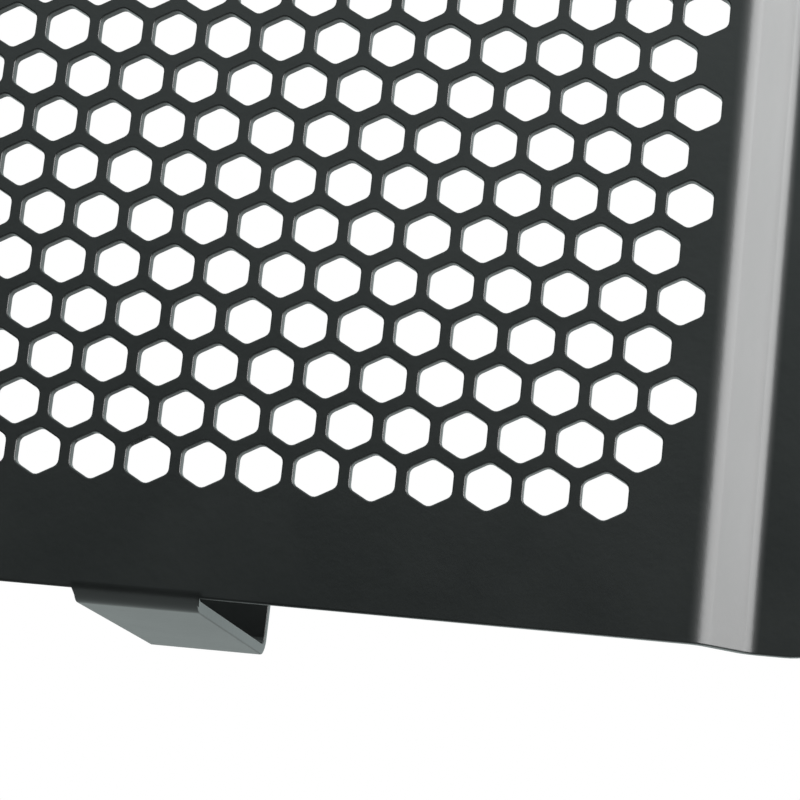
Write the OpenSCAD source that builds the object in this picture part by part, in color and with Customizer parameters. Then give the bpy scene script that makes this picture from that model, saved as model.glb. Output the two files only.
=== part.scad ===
// Motorcycle radiator guard: one perforated sheet, stepped back at both sides, with two hooks folded
// from its lower edge. Frame: +Z is up, the front faces -Y, and the origin lies midway between the two
// bolt holes, on the plane of the flanges' rear faces.

/* [Sheet] */
// Thickness of the sheet
sheet_t = 1.5; // [1:0.1:2.5]

/* [Hexagonal holes] */
// Distance between the centres of neighbouring holes
pitch = 7; // [6.5:0.1:9]
// Size of each hole across its flats
hole_af = 5.5; // [3:0.1:5.6]
// Holes in the widest rows
columns = 26; // [21:1:31]
// Rows of holes
row_count = 15; // [7:1:17]

/* [Plate] */
// From the centres of the outer rows to the plate's lower and upper edges
row_margin = 16.5; // [8:0.1:30]
// From the centres of the outermost holes to the first fold at each side
side_margin = 4; // [3.5:0.1:20]

/* [Side steps and flanges] */
// How far the flanges are set back behind the plate
step_depth = 5.6; // [4:0.1:12]
// Angle of the sloping strip between the plate and a flange
step_angle = 45; // [30:1:60]
// Inside radius of the two folds of each side step
step_bend_r = 2.5; // [1:0.1:3]
// Flat width of each flange
flange_w = 15; // [13:0.1:30]
// Radius of the flanges' outer corners
corner_r = 12; // [3:0.5:12]
// Diameter of the bolt holes, for M6 screws
bolt_d = 6.6; // [4:0.1:8]
// From a flange's outer edge to its bolt hole's centre
bolt_inset = 7.5; // [6:0.1:8]
// From the upper edge to the bolt holes' centres
bolt_drop = 12; // [8:0.5:40]

/* [Lower hooks] */
// Distance between the two hooks' centres
hook_spacing = 50; // [30:0.5:120]
// Width of each hook
hook_w = 15.5; // [10:0.5:24]
// Depth over a hook, from the plate's front face to the foot of the return's outer face
hook_depth = 42; // [20:0.5:60]
// Height of a hook's return over its floor's underside
hook_return_h = 12; // [8:0.5:20]
// Inside radius of the hooks' folds
hook_bend_r = 1; // [0.5:0.1:3]
// Degrees by which a hook's floor falls away to the rear
hook_fall = 1.5; // [0:0.5:5]
// How far above the plate's lower edge the hooks' first fold begins
hook_rise = 1; // [0.4:0.1:2]
// Radius of the return's upper corners
return_corner_r = 3; // [1:0.5:4]

/* [Hidden] */
$fn = 40;
sheet_colour = [0.17, 0.18, 0.18];

// Rows lie on a triangular lattice whose hexagons stand on a point
row_step = pitch * sin(60);
hole_corner_r = hole_af / 2 / cos(30);

// Plate, whose front face is at front_y and whose upper edge is at top_z
plate_w = (columns - 1) * pitch + 2 * side_margin;
plate_h = (row_count - 1) * row_step + 2 * row_margin;
front_y = -step_depth - sheet_t;
top_z = bolt_drop;
bottom_z = top_z - plate_h;

// Length of the sloping strip between its two folds: what the folds leave of the step's depth
fold_rise = (2 * step_bend_r + sheet_t) * (1 - cos(step_angle));
slope_len = (step_depth - fold_rise) / sin(step_angle);
// From the plate's side edge out to where the flange begins, and to its outer edge
flange_x = (2 * step_bend_r + sheet_t) * sin(step_angle) + slope_len * cos(step_angle);
wing_w = flange_x + flange_w;

// Hook: its first fold stops short of a right angle by hook_fall
hook_outer_r = hook_bend_r + sheet_t;
first_fold = 90 - hook_fall;
// What the two folds leave of the hook's depth, measured along the floor
floor_len = (hook_depth - hook_outer_r) / cos(hook_fall) - hook_outer_r;
// From the start of the first fold down to the hook's lowest point
hook_drop = floor_len * sin(hook_fall) + hook_outer_r;

// Largest angle between neighbouring points round a fold
fold_facet = 9;
// How far a strip and the outline that it is cut to run past each other
run_on = sheet_t;
cut_depth = 2 * hook_depth;

// Directions along a strip with this heading, and from its front face to its back
function along(heading) = [cos(heading), sin(heading)];
function inwards(heading) = [-sin(heading), cos(heading)];

// Points on the front of a folded strip that sets off along x, each with its heading. A fold is
// [angle, inside radius, flat length after it]; a positive angle folds to the back.
function stations(folds, p = [0, 0], heading = 0, i = 0) =
    i == len(folds)
        ? [[p, heading]]
        : let (
            angle = folds[i][0],
            offset = angle > 0 ? sheet_t + folds[i][1] : -folds[i][1],
            pivot = p + offset * inwards(heading),
            steps = ceil(abs(angle) / fold_facet),
            headings = [for (k = [0 : steps]) heading + angle * k / steps],
            next = headings[steps]
        )
        concat(
            [for (h = headings) [pivot - offset * inwards(h), h]],
            stations(folds, pivot - offset * inwards(next) + folds[i][2] * along(next), next, i + 1)
        );

// Folded strip that stands on the xy plane, cut to the outline that its children give:
// the outline's x runs along the strip and its y across it
module folded_strip(folds, across) {
    front = stations(folds);
    back = [for (i = [len(front) - 1 : -1 : 0]) front[i][0] + sheet_t * inwards(front[i][1])];
    intersection() {
        translate([0, 0, -run_on])
            linear_extrude(across + 2 * run_on)
                polygon(concat([for (station = front) station[0]], back));
        rotate([90, 0, 0])
            linear_extrude(2 * cut_depth, center = true) children();
    }
}

// Strip's outline with two round corners at its far end; its near end runs on past the y axis
module round_ended(length, across, r) {
    translate([-run_on, 0]) square([run_on + length - r, across]);
    translate([0, r]) square([length, across - 2 * r]);
    for (y = [r, across - r])
        translate([length - r, y]) circle(r);
}

// Lattice of hexagonal holes; the corner holes of the first and the last row are left out
module hole_lattice() {
    for (row = [0 : row_count - 1]) {
        outer = row == 0 || row == row_count - 1;
        count = columns - row % 2 - (outer ? 2 : 0);
        for (i = [0 : count - 1])
            translate([(i - (count - 1) / 2) * pitch, row_margin + row * row_step])
                rotate(30) circle(hole_corner_r, $fn = 6);
    }
}

// The plate: its holes, and a notch in the lower edge that each hook's first fold fills
module plate() {
    translate([0, sheet_t, 0])
        rotate([90, 0, 0])
            linear_extrude(sheet_t) difference() {
                translate([-plate_w / 2, 0]) square([plate_w, plate_h]);
                hole_lattice();
                for (side = [-1, 1])
                    translate([side * hook_spacing / 2 - hook_w / 2, -hook_rise])
                        square([hook_w, 2 * hook_rise]);
            }
}

// Sloping step back from the plate's side edge, and the flat flange with its bolt hole near the upper edge
module side_step() {
    folds = [
        [step_angle, step_bend_r, slope_len],
        [-step_angle, step_bend_r, flange_w + run_on],
    ];
    folded_strip(folds, plate_h)
        difference() {
            round_ended(wing_w, plate_h, corner_r);
            translate([wing_w - bolt_inset, plate_h - bolt_drop]) circle(d = bolt_d);
        }
}

// Hook: a floor folded back under the radiator and a return folded up behind it; x runs down the plate
module hook() {
    folds = [
        [first_fold, hook_bend_r, floor_len],
        [90, hook_bend_r, hook_return_h],
    ];
    folded_strip(folds, hook_w)
        translate([hook_drop, 0])
            mirror([1, 0])
                round_ended(hook_return_h, hook_w, return_corner_r);
}

module radiator_guard() {
    color(sheet_colour)
    translate([0, front_y, bottom_z]) {
        plate();
        for (side = [0, 1])
            mirror([side, 0, 0]) {
                translate([plate_w / 2, 0, 0]) side_step();
                translate([hook_spacing / 2 - hook_w / 2, 0, hook_rise])
                    rotate([0, 90, 0]) hook();
            }
    }
}

radiator_guard();
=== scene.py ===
"""Motorcycle radiator guard: a satin black powder-coated sheet, seen as the photograph shows it.

The CAD part gives the sizes. Its visible copy here is the same sheet with smooth folds, a fine round edge
along every cut and slightly lower holes, made from one flat pattern that is folded by formula.
"""
import math

import bpy
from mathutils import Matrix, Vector
from mathutils.geometry import delaunay_2d_cdt


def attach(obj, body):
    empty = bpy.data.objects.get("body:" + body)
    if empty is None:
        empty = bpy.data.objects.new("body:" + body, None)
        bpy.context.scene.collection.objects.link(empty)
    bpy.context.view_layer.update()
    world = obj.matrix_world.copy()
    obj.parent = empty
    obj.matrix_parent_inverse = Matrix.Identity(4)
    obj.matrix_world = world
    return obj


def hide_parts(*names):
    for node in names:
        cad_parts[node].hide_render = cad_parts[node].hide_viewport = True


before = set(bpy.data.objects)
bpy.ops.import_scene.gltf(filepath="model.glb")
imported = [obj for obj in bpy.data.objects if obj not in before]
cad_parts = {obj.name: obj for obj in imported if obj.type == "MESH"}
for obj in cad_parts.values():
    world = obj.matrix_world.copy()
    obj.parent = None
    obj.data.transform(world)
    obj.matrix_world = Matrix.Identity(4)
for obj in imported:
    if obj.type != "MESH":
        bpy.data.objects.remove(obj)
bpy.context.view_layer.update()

# Sizes of the sheet, in mm and radians, the same as in the CAD source
SHEET_T = 1.5
PITCH, HOLE_AF = 7.0, 5.5
COLUMNS, ROWS = 26, 15
ROW_MARGIN, SIDE_MARGIN = 16.5, 4.0
STEP_DEPTH, STEP_ANGLE, STEP_R = 5.6, math.radians(45), 2.5
FLANGE_W, CORNER_R = 15.0, 12.0
BOLT_D, BOLT_INSET, BOLT_DROP = 6.6, 7.5, 12.0
HOOK_SPACING, HOOK_W, HOOK_DEPTH, HOOK_H = 50.0, 15.5, 42.0, 12.0
HOOK_R, HOOK_FALL, HOOK_RISE, RETURN_R = 1.0, math.radians(1.5), 1.0, 3.0

# Only the visible sheet has these: round edges and hole corners, the height of a hole as a share of a
# regular hexagon's, a small radius where a hook leaves the plate's lower edge, and the width over which
# the plate follows the hook's fold there
EDGE_R = 0.2
HOLE_CORNER_R = 1.0
HOLE_HEIGHT = 0.955
ROOT_R = 0.3
ROOT_BLEND = 0.8

# How finely the folds, the corners, the bolt holes and the lines near a hook's root are divided
FOLD_FACET = math.radians(4.5)
CORNER_STEPS, RETURN_STEPS, ROOT_STEPS, HOLE_CORNER_STEPS = 24, 10, 4, 3
BOLT_STEPS = 64
ROOT_SPACING = 0.2

# Which outline a point of the flat pattern lies on, apart from the numbers of the holes
ON_OUTER, ON_NONE = 0, -1

ROW_STEP = PITCH * math.sin(math.radians(60))
PLATE_W = (COLUMNS - 1) * PITCH + 2 * SIDE_MARGIN
PLATE_H = (ROWS - 1) * ROW_STEP + 2 * ROW_MARGIN
FRONT_Y = -STEP_DEPTH - SHEET_T
BOTTOM_Z = BOLT_DROP - PLATE_H

SLOPE_LEN = (STEP_DEPTH - (2 * STEP_R + SHEET_T) * (1 - math.cos(STEP_ANGLE))) / math.sin(STEP_ANGLE)
HOOK_OUTER_R = HOOK_R + SHEET_T
FLOOR_LEN = (HOOK_DEPTH - HOOK_OUTER_R) / math.cos(HOOK_FALL) - HOOK_OUTER_R
RETURN_LEN = (HOOK_H - HOOK_OUTER_R * (1 - math.sin(HOOK_FALL))) / math.cos(HOOK_FALL)
MM = 0.001


# The sheet

class Strip:
    """Front line of a folded strip. A fold is (angle, inside radius, flat length after it)."""

    def __init__(self, folds):
        self.runs, self.stations = [], [0.0]
        s, x, y, heading = 0.0, 0.0, 0.0, 0.0
        for angle, inside_r, flat in folds:
            offset = SHEET_T + inside_r if angle > 0 else -inside_r
            arc = abs(angle * offset)
            self.runs.append((s, x, y, heading, angle / arc, offset))
            steps = math.ceil(abs(angle) / FOLD_FACET - 1e-6)
            self.stations += [s + arc * k / steps for k in range(0 if s else 1, steps + 1)]
            px, py = x - offset * math.sin(heading), y + offset * math.cos(heading)
            heading += angle
            x, y = px + offset * math.sin(heading), py - offset * math.cos(heading)
            s += arc
            self.runs.append((s, x, y, heading, 0.0, 0.0))
            x, y, s = x + flat * math.cos(heading), y + flat * math.sin(heading), s + flat
        self.length = s

    def at(self, s):
        """Point and heading at a length along the front."""
        start, x, y, heading, bend, offset = [r for r in self.runs if r[0] <= s + 1e-9][-1]
        run = s - start
        if not bend:
            return x + run * math.cos(heading), y + run * math.sin(heading), heading
        now = heading + bend * run
        x += offset * (math.sin(now) - math.sin(heading))
        y += offset * (math.cos(heading) - math.cos(now))
        return x, y, now


SIDE = Strip([(STEP_ANGLE, STEP_R, SLOPE_LEN), (-STEP_ANGLE, STEP_R, FLANGE_W)])
HOOK = Strip([(math.pi / 2 - HOOK_FALL, HOOK_R, FLOOR_LEN), (math.pi / 2, HOOK_R, RETURN_LEN)])
HALF_W = PLATE_W / 2 + SIDE.length
HOOK_END = HOOK_RISE - HOOK.length


def hook_front(x, z):
    """Point on a hook's front, the share of it that holds there, and its heading."""
    beside = max(0.0, abs(abs(x) - HOOK_SPACING / 2) - HOOK_W / 2)
    share = max(0.0, 1 - beside / ROOT_BLEND)
    down, back, heading = HOOK.at(max(0.0, HOOK_RISE - z))
    at = Vector((x, FRONT_Y + back, BOTTOM_Z + HOOK_RISE - down))
    return at, share * share * (3 - 2 * share), heading


def root_front(x, z):
    """Front of the plate beside a hook, where the sheet follows the hook's fold a little."""
    at, share, _ = hook_front(x, z)
    flat = Vector((x, FRONT_Y, BOTTOM_Z + z))
    return flat.lerp(at, share) if z < HOOK_RISE else flat


def fold(x, z):
    """Where a point of the flat pattern lies, and the directions of its x, its z and its thickness."""
    at, share, h = hook_front(x, z)
    if z < HOOK_RISE and share == 1:
        ez = Vector((0, -math.sin(h), math.cos(h)))
        return at, Vector((1, 0, 0)), ez, Vector((0, math.cos(h), math.sin(h)))
    if z < HOOK_RISE and share > 0:
        d = 0.01
        ex = (root_front(x + d, z) - root_front(x - d, z)).normalized()
        ez = (root_front(x, z + d) - root_front(x, z - d)).normalized()
        return root_front(x, z), ex, ez, ez.cross(ex).normalized()
    side = 1 if x > 0 else -1
    out = abs(x) - PLATE_W / 2
    if out <= 0:
        return Vector((x, FRONT_Y, BOTTOM_Z + z)), Vector((1, 0, 0)), Vector((0, 0, 1)), Vector((0, 1, 0))
    along, back, h = SIDE.at(out)
    at = Vector((side * (PLATE_W / 2 + along), FRONT_Y + back, BOTTOM_Z + z))
    ex = Vector((math.cos(h), side * math.sin(h), 0))
    return at, ex, Vector((0, 0, 1)), Vector((-side * math.sin(h), math.cos(h), 0))


def rounded(corners):
    """A closed outline with round corners, as (x, z, outward normal x, z). The sheet lies on its left."""
    outline = []
    for i, (x, z, r, steps) in enumerate(corners):
        last_x, last_z = corners[i - 1][:2]
        next_x, next_z = corners[(i + 1) % len(corners)][:2]
        a = math.atan2(z - last_z, x - last_x)
        turn = (math.atan2(next_z - z, next_x - x) - a + math.pi) % (2 * math.pi) - math.pi
        cut = r * math.tan(abs(turn) / 2)
        sx, sz = x - cut * math.cos(a), z - cut * math.sin(a)
        way = 1 if turn > 0 else -1
        cx, cz = sx - way * r * math.sin(a), sz + way * r * math.cos(a)
        for k in range(steps + 1):
            h = a + turn * k / steps
            nx, nz = math.sin(h), -math.cos(h)
            outline.append((cx + way * r * nx, cz + way * r * nz, nx, nz))
    return outline


def with_stations(outline):
    """The outline with a point wherever a straight edge crosses a line of a fold."""
    full = []
    for i, (x, z, nx, nz) in enumerate(outline):
        full.append((x, z, nx, nz))
        x2, z2, nx2, nz2 = outline[(i + 1) % len(outline)]
        if abs(nx - nx2) + abs(nz - nz2) > 1e-6:
            continue
        at_hook = min(z, z2) < HOOK_RISE - 1 and abs(nx) > 0.5
        lines = [HOOK_RISE - s for s in HOOK.stations] if at_hook else [
            side * (PLATE_W / 2 + s) for side in (-1, 1) for s in SIDE.stations]
        a, b = (z, z2) if at_hook else (x, x2)
        shares = sorted((v - a) / (b - a) for v in lines if abs(b - a) > 1e-6)
        full += [(x + (x2 - x) * f, z + (z2 - z) * f, nx, nz) for f in shares if 1e-6 < f < 1 - 1e-6]
    return full


def sheet_outline():
    """Outer edge of the flat pattern, counterclockwise seen from the front."""
    corners = []
    for centre in (-HOOK_SPACING / 2, HOOK_SPACING / 2):
        left, right = centre - HOOK_W / 2, centre + HOOK_W / 2
        corners += [(left, 0, ROOT_R, ROOT_STEPS), (left, HOOK_END, RETURN_R, RETURN_STEPS),
                    (right, HOOK_END, RETURN_R, RETURN_STEPS), (right, 0, ROOT_R, ROOT_STEPS)]
    corners += [(x, z, CORNER_R, CORNER_STEPS)
                for x, z in ((HALF_W, 0), (HALF_W, PLATE_H), (-HALF_W, PLATE_H), (-HALF_W, 0))]
    return with_stations(rounded(corners))


def hole_outlines():
    """Hexagonal holes and bolt holes, clockwise, so that the sheet lies on their left too."""
    outlines = []
    half_w = HOLE_AF / 2 / math.cos(math.radians(30))
    half_h = HOLE_HEIGHT * half_w
    angles = [math.radians(90 - 60 * k) for k in range(6)]
    for row in range(ROWS):
        count = COLUMNS - row % 2 - (2 if row in (0, ROWS - 1) else 0)
        for i in range(count):
            x, z = (i - (count - 1) / 2) * PITCH, ROW_MARGIN + row * ROW_STEP
            outlines.append(rounded([
                (x + half_w * math.cos(a), z + half_h * math.sin(a), HOLE_CORNER_R, HOLE_CORNER_STEPS)
                for a in angles]))
    for side in (-1, 1):
        x, z = side * (HALF_W - BOLT_INSET), PLATE_H - BOLT_DROP
        normals = [(-math.cos(a), -math.sin(a))
                   for a in (-2 * math.pi * k / BOLT_STEPS for k in range(BOLT_STEPS))]
        outlines.append([(x - BOLT_D / 2 * nx, z - BOLT_D / 2 * nz, nx, nz) for nx, nz in normals])
    return outlines


def is_inside(outline, x, z):
    """True if the point lies inside the outline."""
    inside = False
    for i, (x1, z1, _, _) in enumerate(outline):
        x2, z2 = outline[i - 1][:2]
        if (z1 > z) != (z2 > z) and x < (x2 - x1) * (z - z1) / (z2 - z1) + x1:
            inside = not inside
    return inside


def add_fold_lines(points, owners, edges, outer_count):
    """Add the lines of the folds, from edge to edge, so that the faces bend only there."""
    inset = {(round(x, 4), round(z, 4)): i for i, (x, z) in enumerate(points[:outer_count])}
    low, high = round(EDGE_R, 4), round(PLATE_H - EDGE_R, 4)
    for side in (-1, 1):
        for s in SIDE.stations:
            x = side * (PLATE_W / 2 + s)
            edges.append((inset[round(x, 4), low], inset[round(x, 4), high]))
        for s in HOOK.stations:
            z = HOOK_RISE - s
            if z < -ROOT_R:
                x1, x2 = (side * HOOK_SPACING / 2 + k * (HOOK_W / 2 - EDGE_R) for k in (-1, 1))
                edges.append((inset[round(x1, 4), round(z, 4)], inset[round(x2, 4), round(z, 4)]))
                continue
            # Near the root a line ends in the plate, beside the hook where it can
            half = HOOK_W / 2 + (ROOT_BLEND if z > 2 * EDGE_R else -2 * EDGE_R)
            steps = round(2 * half / ROOT_SPACING)
            for k in range(steps + 1):
                points.append((side * HOOK_SPACING / 2 + (2 * k / steps - 1) * half, z))
                owners.append(ON_NONE)
                if k:
                    edges.append((len(points) - 2, len(points) - 1))


def flat_triangles(points, owners, edges, outer):
    """Triangles of the flat pattern, without those that fill a hole or lie outside the sheet."""
    made, _, faces, from_points, _, _ = delaunay_2d_cdt([Vector(p) for p in points], edges, [], 0, 1e-7)
    source = [ids[0] if ids else None for ids in from_points]
    assert len(made) == len(points) and None not in source
    triangles = []
    for face in faces:
        ids = [source[i] for i in face]
        touched = {owners[i] for i in ids}
        if len(touched) == 1 and not touched & {ON_OUTER, ON_NONE}:
            continue
        x, z = (sum(points[i][k] for i in ids) / 3 for k in (0, 1))
        if touched <= {ON_OUTER, ON_NONE} and not is_inside(outer, x, z):
            continue
        triangles.append(ids)
    return triangles


def make_sheet():
    """The whole guard as one closed mesh with exact normals."""
    outer = sheet_outline()
    loops = [outer] + hole_outlines()
    owners = [i for i, loop in enumerate(loops) for _ in loop]
    points = [(x - EDGE_R * nx, z - EDGE_R * nz) for loop in loops for x, z, nx, nz in loop]
    edges, start = [], 0
    for loop in loops:
        n = len(loop)
        edges += [(start + k, start + (k + 1) % n) for k in range(n)]
        start += n
    add_fold_lines(points, owners, edges, len(outer))
    triangles = flat_triangles(points, owners, edges, outer)

    vertices, normals, polygons = [], [], []

    def add(x, z, depth, nx, nz, nt):
        at, ex, ez, through = fold(x, z)
        vertices.append((at + depth * through) * MM)
        normals.append((nx * ex + nz * ez + nt * through).normalized())

    # Round front edge, straight wall and round back edge. A ring of points has its inset, its depth, and the
    # parts of its normal along the outline's normal and through the sheet.
    bevel = [(math.sin(a), math.cos(a)) for a in map(math.radians, (0, 45, 90))]
    rings = [(EDGE_R * (1 - n), EDGE_R * (1 - t), n, -t) for n, t in bevel]
    rings += [(i, SHEET_T - d, n, -t) for i, d, n, t in reversed(rings)]
    ring_size = len(rings)

    # The vertices on the front and on the back for each point of the flat pattern
    spots = []
    for loop in loops:
        first, n = len(vertices), len(loop)
        for k, (x, z, nx, nz) in enumerate(loop):
            for i, d, n_share, t in rings:
                add(x - i * nx, z - i * nz, d, n_share * nx, n_share * nz, t)
            a, b = first + k * ring_size, first + (k + 1) % n * ring_size
            spots.append((a, a + ring_size - 1))
            polygons += [(a + j, a + j + 1, b + j + 1, b + j) for j in range(ring_size - 1)]
    for point in points[len(spots):]:
        spots.append((len(vertices), len(vertices) + 1))
        add(*point, 0, 0, 0, -1)
        add(*point, SHEET_T, 0, 0, 1)
    polygons += [tuple(spots[i][0] for i in ids) for ids in triangles]
    polygons += [tuple(spots[i][1] for i in reversed(ids)) for ids in triangles]

    mesh = bpy.data.meshes.new("guard_finish")
    mesh.from_pydata([tuple(v) for v in vertices], [], polygons)
    mesh.validate()
    mesh.shade_smooth()
    mesh.normals_split_custom_set_from_vertices([tuple(n) for n in normals])
    guard = bpy.data.objects.new("guard_finish", mesh)
    bpy.context.scene.collection.objects.link(guard)
    return guard


# Materials

def new_material(name):
    material = bpy.data.materials.new(name)
    material.use_nodes = True
    nodes = material.node_tree.nodes
    nodes.clear()
    shader = nodes.new("ShaderNodeBsdfPrincipled")
    output = nodes.new("ShaderNodeOutputMaterial")
    material.node_tree.links.new(shader.outputs["BSDF"], output.inputs["Surface"])
    return material, nodes, material.node_tree.links, shader


def noise(nodes, links, vector, scale, detail, roughness):
    node = nodes.new("ShaderNodeTexNoise")
    node.inputs["Scale"].default_value = scale
    node.inputs["Detail"].default_value = detail
    node.inputs["Roughness"].default_value = roughness
    links.new(vector, node.inputs["Vector"])
    return node.outputs["Fac"]


def remap(nodes, links, value, low, high, to_low, to_high):
    node = nodes.new("ShaderNodeMapRange")
    for name, v in (("From Min", low), ("From Max", high), ("To Min", to_low), ("To Max", to_high)):
        node.inputs[name].default_value = v
    links.new(value, node.inputs["Value"])
    return node.outputs["Result"]


def powder_coat():
    """Satin black powder coat: faint clouds, a fine orange peel and a few specks of dust."""
    material, nodes, links, shader = new_material("powder_coat")
    where = nodes.new("ShaderNodeTexCoord").outputs["Object"]
    clouds = noise(nodes, links, where, 55, 4, 0.6)
    grain = noise(nodes, links, where, 900, 3, 0.55)

    tone = nodes.new("ShaderNodeMix")
    tone.data_type = "RGBA"
    tone.inputs["A"].default_value = (0.0066, 0.0074, 0.0073, 1)
    tone.inputs["B"].default_value = (0.0096, 0.0104, 0.0102, 1)
    links.new(remap(nodes, links, clouds, 0.35, 0.65, 0, 1), tone.inputs["Factor"])

    specks = nodes.new("ShaderNodeTexVoronoi")
    specks.inputs["Scale"].default_value = 160
    links.new(where, specks.inputs["Vector"])
    # Only about one cell of the pattern in 23 has a speck, at its middle
    near = remap(nodes, links, specks.outputs["Distance"], 0.020, 0.045, 1, 0)
    split = nodes.new("ShaderNodeSeparateColor")
    links.new(specks.outputs["Color"], split.inputs["Color"])
    few = remap(nodes, links, split.outputs["Red"], 0.955, 0.96, 0, 0.5)
    both = nodes.new("ShaderNodeMath")
    both.operation = "MULTIPLY"
    links.new(near, both.inputs[0])
    links.new(few, both.inputs[1])
    dusted = nodes.new("ShaderNodeMix")
    dusted.data_type = "RGBA"
    dusted.inputs["B"].default_value = (0.20, 0.20, 0.19, 1)
    links.new(tone.outputs["Result"], dusted.inputs["A"])
    links.new(both.outputs["Value"], dusted.inputs["Factor"])
    links.new(dusted.outputs["Result"], shader.inputs["Base Color"])

    links.new(remap(nodes, links, clouds, 0.3, 0.7, 0.315, 0.345), shader.inputs["Roughness"])
    shader.inputs["IOR"].default_value = 1.5
    bump = nodes.new("ShaderNodeBump")
    bump.inputs["Strength"].default_value = 0.25
    bump.inputs["Distance"].default_value = 0.00006
    links.new(grain, bump.inputs["Height"])
    links.new(bump.outputs["Normal"], shader.inputs["Normal"])
    return material


def floor_material():
    material, nodes, links, shader = new_material("pale_floor")
    where = nodes.new("ShaderNodeTexCoord").outputs["Object"]
    tone = nodes.new("ShaderNodeMix")
    tone.data_type = "RGBA"
    tone.inputs["A"].default_value = (0.70, 0.68, 0.675, 1)
    tone.inputs["B"].default_value = (0.74, 0.72, 0.715, 1)
    links.new(noise(nodes, links, where, 8, 3, 0.5), tone.inputs["Factor"])
    links.new(tone.outputs["Result"], shader.inputs["Base Color"])
    shader.inputs["Roughness"].default_value = 0.6
    return material


# The object

guard = make_sheet()
guard.data.materials.append(powder_coat())
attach(guard, "root")
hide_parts("radiator_guard")

# Stage, lights and camera

FLOOR_Z, FLOOR_HALF, FLOOR_BACK = -0.30, 0.9, 0.66
floor_mesh = bpy.data.meshes.new("floor")
floor_mesh.from_pydata([(x * FLOOR_HALF, FLOOR_BACK + y * FLOOR_HALF, FLOOR_Z)
                        for x, y in ((-1, -1), (1, -1), (1, 1), (-1, 1))], [], [(0, 1, 2, 3)])
floor = bpy.data.objects.new("floor", floor_mesh)
floor_mesh.materials.append(floor_material())
bpy.context.scene.collection.objects.link(floor)

lit = bpy.data.collections.new("lit_by_softboxes")
lit.objects.link(guard)


def softbox(name, azimuth, elevation, distance, width, height, power, aim=(0.05, 0, -0.05)):
    """Area light at an azimuth from the front (-Y) towards +X, kept off the floor as by a studio's flags."""
    light = bpy.data.lights.new(name, "AREA")
    light.shape = "RECTANGLE"
    light.size, light.size_y = width, height
    light.energy = power
    lamp = bpy.data.objects.new(name, light)
    a, e = math.radians(azimuth), math.radians(elevation)
    away = Vector((math.sin(a) * math.cos(e), -math.cos(a) * math.cos(e), math.sin(e)))
    lamp.location = Vector(aim) + away * distance
    lamp.rotation_euler = away.to_track_quat("Z", "Y").to_euler()
    bpy.context.scene.collection.objects.link(lamp)
    lamp.light_linking.receiver_collection = lit


softbox("key_right", 60, 16, 1.2, 0.75, 0.9, 24)
softbox("side_right", 86, 16, 1.2, 0.35, 0.9, 12)
softbox("front_right", 34, 20, 1.2, 0.7, 0.7, 1)

# The background is white to the eye. The room that lights the guard is bright behind it, and in front of it
# it is bright only above.
world = bpy.data.worlds.new("studio")
bpy.context.scene.world = world
world.use_nodes = True
nodes, links = world.node_tree.nodes, world.node_tree.links
nodes.clear()
seen = nodes.new("ShaderNodeBackground")
seen.inputs["Color"].default_value = (1, 1, 1, 1)
room = nodes.new("ShaderNodeBackground")
direction = nodes.new("ShaderNodeSeparateXYZ")
links.new(nodes.new("ShaderNodeTexCoord").outputs["Generated"], direction.inputs["Vector"])
front = remap(nodes, links, direction.outputs["Z"], 0.17, 0.30, 0.0, 1.1)
behind = nodes.new("ShaderNodeMix")
links.new(remap(nodes, links, direction.outputs["Y"], -0.3, 0.5, 0, 1), behind.inputs["Factor"])
links.new(front, behind.inputs["A"])
behind.inputs["B"].default_value = 0.96
links.new(behind.outputs["Result"], room.inputs["Strength"])
room.inputs["Color"].default_value = (0.87, 1.0, 0.99, 1)
mix = nodes.new("ShaderNodeMixShader")
links.new(nodes.new("ShaderNodeLightPath").outputs["Is Camera Ray"], mix.inputs["Fac"])
links.new(room.outputs["Background"], mix.inputs[1])
links.new(seen.outputs["Background"], mix.inputs[2])
output = nodes.new("ShaderNodeOutputWorld")
links.new(mix.outputs["Shader"], output.inputs["Surface"])

camera_data = bpy.data.cameras.new("camera")
camera_data.lens = 117.259
camera_data.sensor_width = 36
camera_data.clip_start, camera_data.clip_end = 0.01, 20
camera = bpy.data.objects.new("camera", camera_data)
camera.location = (0.108098, -0.311437, -0.138439)
camera.rotation_euler = [math.radians(a) for a in (100.82845, -6.08863, 8.76974)]
bpy.context.scene.collection.objects.link(camera)
bpy.context.scene.camera = camera
bpy.context.scene.view_settings.view_transform = "Standard"
